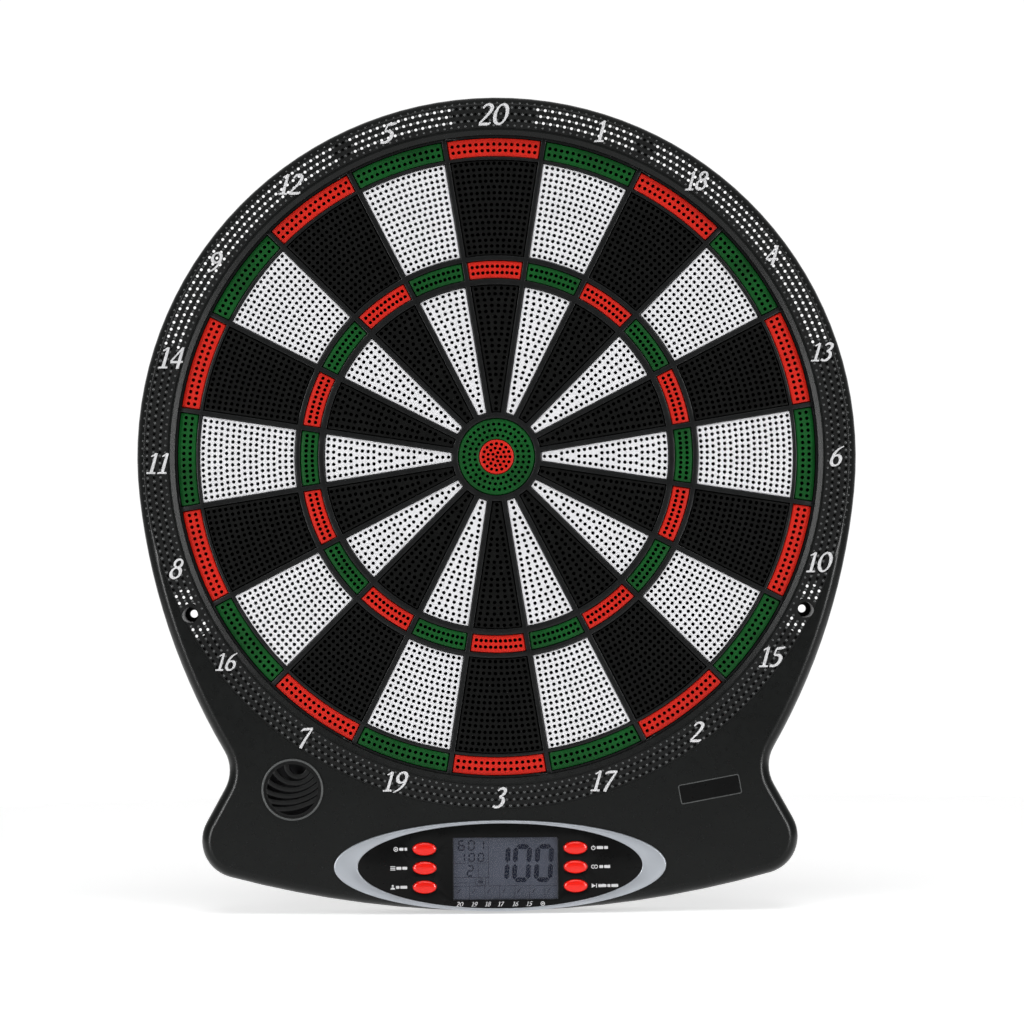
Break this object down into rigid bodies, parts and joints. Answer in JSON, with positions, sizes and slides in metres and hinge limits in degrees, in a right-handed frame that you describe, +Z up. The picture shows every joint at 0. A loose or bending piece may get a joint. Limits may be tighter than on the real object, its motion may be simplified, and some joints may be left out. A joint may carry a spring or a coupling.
{
  "type": "electronic dartboard",
  "caption": "Wall-mounted round soft-tip dartboard: sprung perforated fields in a spider, numbered ring, and a console with display, push buttons and speaker.",
  "frame": {"origin": "on the wall plane, straight behind the centre of the bull", "axes": "+X to the board's right seen from the front, +Z up, +Y into the wall; the target faces -Y"},
  "size_m": [0.38, 0.0306, 0.43],
  "materials": {
    "housing_black": "satin moulded",
    "ring_black": "dimpled",
    "numeral_white": "printed, satin",
    "spider_black": "satin",
    "field_white": "moulded",
    "field_black": "moulded",
    "field_red": "moulded",
    "field_green": "moulded",
    "rubber_grey": "matte",
    "contact_film": "printed film",
    "spacer_film": "clear film",
    "fibreboard": "pressed board",
    "cover_black": "fine grain",
    "screw_steel": "zinc plated",
    "trim_silver": "silver lacquer on plastic",
    "panel_black": "smooth",
    "window_clear": "clear acrylic",
    "display_grey": "liquid-crystal glass",
    "holder_black": "moulded",
    "button_red": "glossy",
    "board_green": "solder mask",
    "chip_black": "epoxy",
    "cable_white": "flat cable",
    "speaker_grey": "steel frame with paper cone",
    "grille_black": "moulded",
    "wire_red": "insulated",
    "wire_black": "insulated",
    "cell_jacket": "plain cell jacket",
    "contact_nickel": "nickel plated"
  },
  "bodies": {
    "case": {"front_shell": "housing_black", "number_ring": "ring_black", "numerals": "numeral_white", "spider": "spider_black", "spider_screws": "screw_steel", "rubber_sheet": "rubber_grey", "matrix_front_sheet": "contact_film", "matrix_spacer": "spacer_film", "matrix_rear_sheet": "contact_film", "backing_plate": "fibreboard", "backing_screws": "screw_steel", "rear_cover": "cover_black", "case_screws": "screw_steel", "console_trim": "trim_silver", "console_panel": "panel_black", "lcd_window": "window_clear", "lcd_panel": "display_grey", "lcd_holder": "holder_black", "keypads": "rubber_grey", "main_board": "board_green", "board_screws": "screw_steel", "controller_chip": "chip_black", "ribbon_cable": "cable_white", "speaker": "speaker_grey", "speaker_grille": "grille_black", "speaker_wires": "wire_red", "batteries": "cell_jacket", "battery_springs": "contact_nickel", "battery_contacts": "contact_nickel", "battery_wires": "wire_black"},
    "sector_20": {"segments_20": "field_black"},
    "sector_01": {"segments_01": "field_white"},
    "sector_18": {"segments_18": "field_black"},
    "sector_04": {"segments_04": "field_white"},
    "sector_13": {"segments_13": "field_black"},
    "sector_06": {"segments_06": "field_white"},
    "sector_10": {"segments_10": "field_black"},
    "sector_15": {"segments_15": "field_white"},
    "sector_02": {"segments_02": "field_black"},
    "sector_17": {"segments_17": "field_white"},
    "sector_03": {"segments_03": "field_black"},
    "sector_19": {"segments_19": "field_white"},
    "sector_07": {"segments_07": "field_black"},
    "sector_16": {"segments_16": "field_white"},
    "sector_08": {"segments_08": "field_black"},
    "sector_11": {"segments_11": "field_white"},
    "sector_14": {"segments_14": "field_black"},
    "sector_09": {"segments_09": "field_white"},
    "sector_12": {"segments_12": "field_black"},
    "sector_05": {"segments_05": "field_white"},
    "outer_bull": {"outer_bull": "field_green"},
    "inner_bull": {"inner_bull": "field_red"},
    "button_left_top": {"button_left_top": "button_red"},
    "button_left_middle": {"button_left_middle": "button_red"},
    "button_left_bottom": {"button_left_bottom": "button_red"},
    "button_right_top": {"button_right_top": "button_red"},
    "button_right_middle": {"button_right_middle": "button_red"},
    "button_right_bottom": {"button_right_bottom": "button_red"},
    "battery_door": {"battery_door": "cover_black"}
  },
  "joints": [
    {"name": "sector_20_press", "type": "slide", "parent": "case", "child": "sector_20", "axis": [0, 1, 0], "range_m": [0, 0.0011], "stiffness_N_per_m": 2000},
    {"name": "sector_01_press", "type": "slide", "parent": "case", "child": "sector_01", "axis": [0, 1, 0], "range_m": [0, 0.0011], "stiffness_N_per_m": 2000},
    {"name": "sector_18_press", "type": "slide", "parent": "case", "child": "sector_18", "axis": [0, 1, 0], "range_m": [0, 0.0011], "stiffness_N_per_m": 2000},
    {"name": "sector_04_press", "type": "slide", "parent": "case", "child": "sector_04", "axis": [0, 1, 0], "range_m": [0, 0.0011], "stiffness_N_per_m": 2000},
    {"name": "sector_13_press", "type": "slide", "parent": "case", "child": "sector_13", "axis": [0, 1, 0], "range_m": [0, 0.0011], "stiffness_N_per_m": 2000},
    {"name": "sector_06_press", "type": "slide", "parent": "case", "child": "sector_06", "axis": [0, 1, 0], "range_m": [0, 0.0011], "stiffness_N_per_m": 2000},
    {"name": "sector_10_press", "type": "slide", "parent": "case", "child": "sector_10", "axis": [0, 1, 0], "range_m": [0, 0.0011], "stiffness_N_per_m": 2000},
    {"name": "sector_15_press", "type": "slide", "parent": "case", "child": "sector_15", "axis": [0, 1, 0], "range_m": [0, 0.0011], "stiffness_N_per_m": 2000},
    {"name": "sector_02_press", "type": "slide", "parent": "case", "child": "sector_02", "axis": [0, 1, 0], "range_m": [0, 0.0011], "stiffness_N_per_m": 2000},
    {"name": "sector_17_press", "type": "slide", "parent": "case", "child": "sector_17", "axis": [0, 1, 0], "range_m": [0, 0.0011], "stiffness_N_per_m": 2000},
    {"name": "sector_03_press", "type": "slide", "parent": "case", "child": "sector_03", "axis": [0, 1, 0], "range_m": [0, 0.0011], "stiffness_N_per_m": 2000},
    {"name": "sector_19_press", "type": "slide", "parent": "case", "child": "sector_19", "axis": [0, 1, 0], "range_m": [0, 0.0011], "stiffness_N_per_m": 2000},
    {"name": "sector_07_press", "type": "slide", "parent": "case", "child": "sector_07", "axis": [0, 1, 0], "range_m": [0, 0.0011], "stiffness_N_per_m": 2000},
    {"name": "sector_16_press", "type": "slide", "parent": "case", "child": "sector_16", "axis": [0, 1, 0], "range_m": [0, 0.0011], "stiffness_N_per_m": 2000},
    {"name": "sector_08_press", "type": "slide", "parent": "case", "child": "sector_08", "axis": [0, 1, 0], "range_m": [0, 0.0011], "stiffness_N_per_m": 2000},
    {"name": "sector_11_press", "type": "slide", "parent": "case", "child": "sector_11", "axis": [0, 1, 0], "range_m": [0, 0.0011], "stiffness_N_per_m": 2000},
    {"name": "sector_14_press", "type": "slide", "parent": "case", "child": "sector_14", "axis": [0, 1, 0], "range_m": [0, 0.0011], "stiffness_N_per_m": 2000},
    {"name": "sector_09_press", "type": "slide", "parent": "case", "child": "sector_09", "axis": [0, 1, 0], "range_m": [0, 0.0011], "stiffness_N_per_m": 2000},
    {"name": "sector_12_press", "type": "slide", "parent": "case", "child": "sector_12", "axis": [0, 1, 0], "range_m": [0, 0.0011], "stiffness_N_per_m": 2000},
    {"name": "sector_05_press", "type": "slide", "parent": "case", "child": "sector_05", "axis": [0, 1, 0], "range_m": [0, 0.0011], "stiffness_N_per_m": 2000},
    {"name": "outer_bull_press", "type": "slide", "parent": "case", "child": "outer_bull", "axis": [0, 1, 0], "range_m": [0, 0.0011], "stiffness_N_per_m": 1500},
    {"name": "inner_bull_press", "type": "slide", "parent": "case", "child": "inner_bull", "axis": [0, 1, 0], "range_m": [0, 0.0011], "stiffness_N_per_m": 1500},
    {"name": "button_left_top_press", "type": "slide", "parent": "case", "child": "button_left_top", "axis": [0, 1, 0], "range_m": [0, 0.001], "stiffness_N_per_m": 600},
    {"name": "button_left_middle_press", "type": "slide", "parent": "case", "child": "button_left_middle", "axis": [0, 1, 0], "range_m": [0, 0.001], "stiffness_N_per_m": 600},
    {"name": "button_left_bottom_press", "type": "slide", "parent": "case", "child": "button_left_bottom", "axis": [0, 1, 0], "range_m": [0, 0.001], "stiffness_N_per_m": 600},
    {"name": "button_right_top_press", "type": "slide", "parent": "case", "child": "button_right_top", "axis": [0, 1, 0], "range_m": [0, 0.001], "stiffness_N_per_m": 600},
    {"name": "button_right_middle_press", "type": "slide", "parent": "case", "child": "button_right_middle", "axis": [0, 1, 0], "range_m": [0, 0.001], "stiffness_N_per_m": 600},
    {"name": "button_right_bottom_press", "type": "slide", "parent": "case", "child": "button_right_bottom", "axis": [0, 1, 0], "range_m": [0, 0.001], "stiffness_N_per_m": 600},
    {"name": "battery_door_hinge", "type": "hinge", "parent": "case", "child": "battery_door", "pos_m": [0, -0.0017, -0.184], "axis": [1, 0, 0], "range_deg": [0, 75]}
  ]
}
